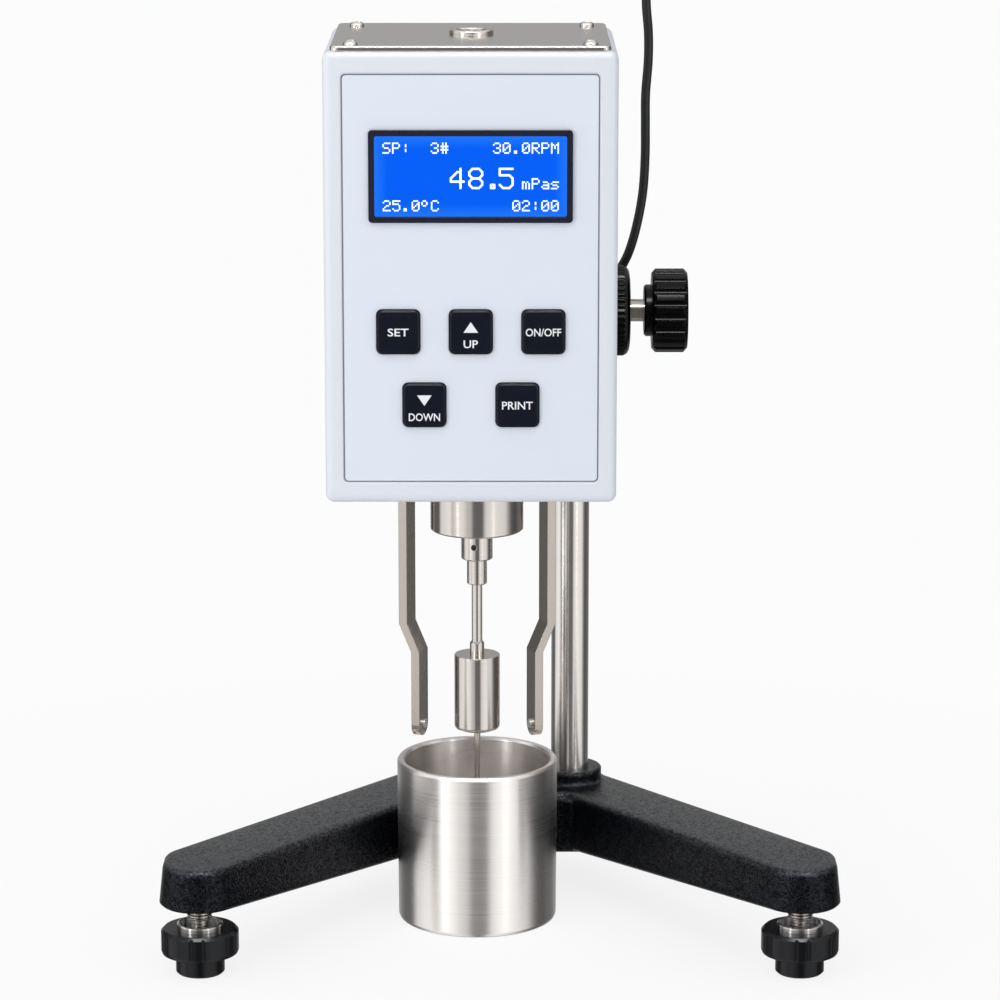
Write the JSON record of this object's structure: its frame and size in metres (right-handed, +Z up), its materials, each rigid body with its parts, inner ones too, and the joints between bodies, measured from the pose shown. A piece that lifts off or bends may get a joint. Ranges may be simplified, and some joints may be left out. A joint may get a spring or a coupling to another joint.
{
  "type": "rotational viscometer",
  "caption": "Bench rotational viscometer: a measuring head on a rack-and-pinion column over a V-shaped stand, with a sprung spindle, guard legs and a steel sample cup.",
  "frame": {"origin": "on the bench, under the middle of the object, at the depth of the spindle's axis", "axes": "+Z up along the column, +Y away from the operator, +X to the operator's right"},
  "size_m": [0.273, 0.1909, 0.41],
  "materials": {
    "casting_paint": "black wrinkle paint",
    "black_plastic": "moulded, satin",
    "head_paint": "pale blue-white satin paint",
    "bright_steel": "fine turned",
    "brushed_cover": "brushed along its width",
    "dark_steel": "machined, oiled",
    "bronze": "bearing bronze",
    "overlay_film": "printed film, satin",
    "key_gloss": "glossy",
    "lcd_blue": "lit display",
    "window_clear": "clear",
    "vial_liquid": "tinted liquid",
    "board_green": "solder mask",
    "motor_case": "black",
    "cord_rubber": "matt sheath"
  },
  "bodies": {
    "stand": {"base_casting": "casting_paint", "foot_bushes": "bright_steel", "rear_foot": "black_plastic", "column": "bright_steel", "column_bolt": "dark_steel", "column_rack": "dark_steel", "sample_cup": "bright_steel"},
    "left_foot": {"foot_pad_left": "black_plastic"},
    "left_levelling_screw": {"foot_stud_left": "bright_steel", "foot_knob_left": "black_plastic", "foot_ring_left": "bright_steel"},
    "right_foot": {"foot_pad_right": "black_plastic"},
    "right_levelling_screw": {"foot_stud_right": "bright_steel", "foot_knob_right": "black_plastic", "foot_ring_right": "bright_steel"},
    "head": {"housing": "head_paint", "top_cover": "brushed_cover", "cover_screws": "bright_steel", "level_bezel": "bright_steel", "level_vial": "vial_liquid", "front_overlay": "overlay_film", "lcd_bezel": "black_plastic", "lcd_window": "window_clear", "lcd_module": "lcd_blue", "keypad_board": "board_green", "rear_panel": "head_paint", "rear_screws": "bright_steel", "main_board": "board_green", "printer_socket": "dark_steel", "cord_gland": "black_plastic", "drive_frame": "dark_steel", "motor": "motor_case", "disc_sensors": "black_plastic", "bearing_collar": "bright_steel", "pivot_bearings": "dark_steel", "guard_leg_left": "bright_steel", "guard_leg_right": "bright_steel", "guard_screws": "dark_steel", "guard_pins": "bright_steel", "lift_block": "casting_paint", "lift_bolts": "dark_steel", "lift_bushes": "bronze", "power_cord": "cord_rubber", "cord_plug": "cord_rubber"},
    "lift_pinion": {"pinion_shaft": "bright_steel", "lift_knob": "black_plastic"},
    "tension_nut": {"tension_ring": "black_plastic"},
    "drive_rotor": {"drive_shaft": "bright_steel", "drive_disc": "bronze", "hairspring": "bronze"},
    "spindle_rotor": {"pivot_shaft": "bright_steel", "pointer_disc": "bronze", "coupling": "bright_steel", "coupling_screw": "dark_steel", "spindle": "bright_steel"},
    "set_button": {"set_key": "key_gloss"},
    "up_button": {"up_key": "key_gloss"},
    "power_button": {"power_key": "key_gloss"},
    "down_button": {"down_key": "key_gloss"},
    "print_button": {"print_key": "key_gloss"}
  },
  "joints": [
    {"name": "left_foot_travel", "type": "slide", "parent": "stand", "child": "left_foot", "axis": [0, 0, 1], "range_m": [-0.008, 0.004]},
    {"name": "left_levelling_turn", "type": "hinge", "parent": "left_foot", "child": "left_levelling_screw", "pos_m": [-0.1205, -0.074, 0.012], "axis": [0, 0, 1], "range_deg": [-2310, 1160]},
    {"name": "right_foot_travel", "type": "slide", "parent": "stand", "child": "right_foot", "axis": [0, 0, 1], "range_m": [-0.008, 0.004]},
    {"name": "right_levelling_turn", "type": "hinge", "parent": "right_foot", "child": "right_levelling_screw", "pos_m": [0.1205, -0.074, 0.012], "axis": [0, 0, 1], "range_deg": [-2310, 1160]},
    {"name": "head_lift", "type": "slide", "parent": "stand", "child": "head", "axis": [0, 0, 1], "range_m": [-0.045, 0.05]},
    {"name": "lift_knob_turn", "type": "hinge", "parent": "head", "child": "lift_pinion", "pos_m": [0.03, 0.07042, 0.2449], "axis": [1, 0, 0], "range_deg": [-430, 478]},
    {"name": "tension_ring_turn", "type": "hinge", "parent": "head", "child": "tension_nut", "pos_m": [0.05, 0.07042, 0.2449], "axis": [1, 0, 0], "range_deg": [-150, 150]},
    {"name": "drive_turn", "type": "hinge", "parent": "head", "child": "drive_rotor", "pos_m": [-0.0095, 0, 0.24], "axis": [0, 0, 1], "continuous": true},
    {"name": "torsion_deflection", "type": "hinge", "parent": "drive_rotor", "child": "spindle_rotor", "pos_m": [-0.0095, 0, 0.218], "axis": [0, 0, 1], "range_deg": [-85, 0], "stiffness_Nm_per_rad": 0.0004},
    {"name": "set_press", "type": "slide", "parent": "head", "child": "set_button", "axis": [0, 1, 0], "range_m": [0, 0.0012], "stiffness_N_per_m": 1500},
    {"name": "up_press", "type": "slide", "parent": "head", "child": "up_button", "axis": [0, 1, 0], "range_m": [0, 0.0012], "stiffness_N_per_m": 1500},
    {"name": "power_press", "type": "slide", "parent": "head", "child": "power_button", "axis": [0, 1, 0], "range_m": [0, 0.0012], "stiffness_N_per_m": 1500},
    {"name": "down_press", "type": "slide", "parent": "head", "child": "down_button", "axis": [0, 1, 0], "range_m": [0, 0.0012], "stiffness_N_per_m": 1500},
    {"name": "print_press", "type": "slide", "parent": "head", "child": "print_button", "axis": [0, 1, 0], "range_m": [0, 0.0012], "stiffness_N_per_m": 1500}
  ],
  "couplings": [
    {"joint": "left_levelling_turn", "follows": "left_foot_travel", "rad_per_m": 5026.5},
    {"joint": "right_levelling_turn", "follows": "right_foot_travel", "rad_per_m": 5026.5},
    {"joint": "lift_knob_turn", "follows": "head_lift", "rad_per_m": 166.67}
  ]
}
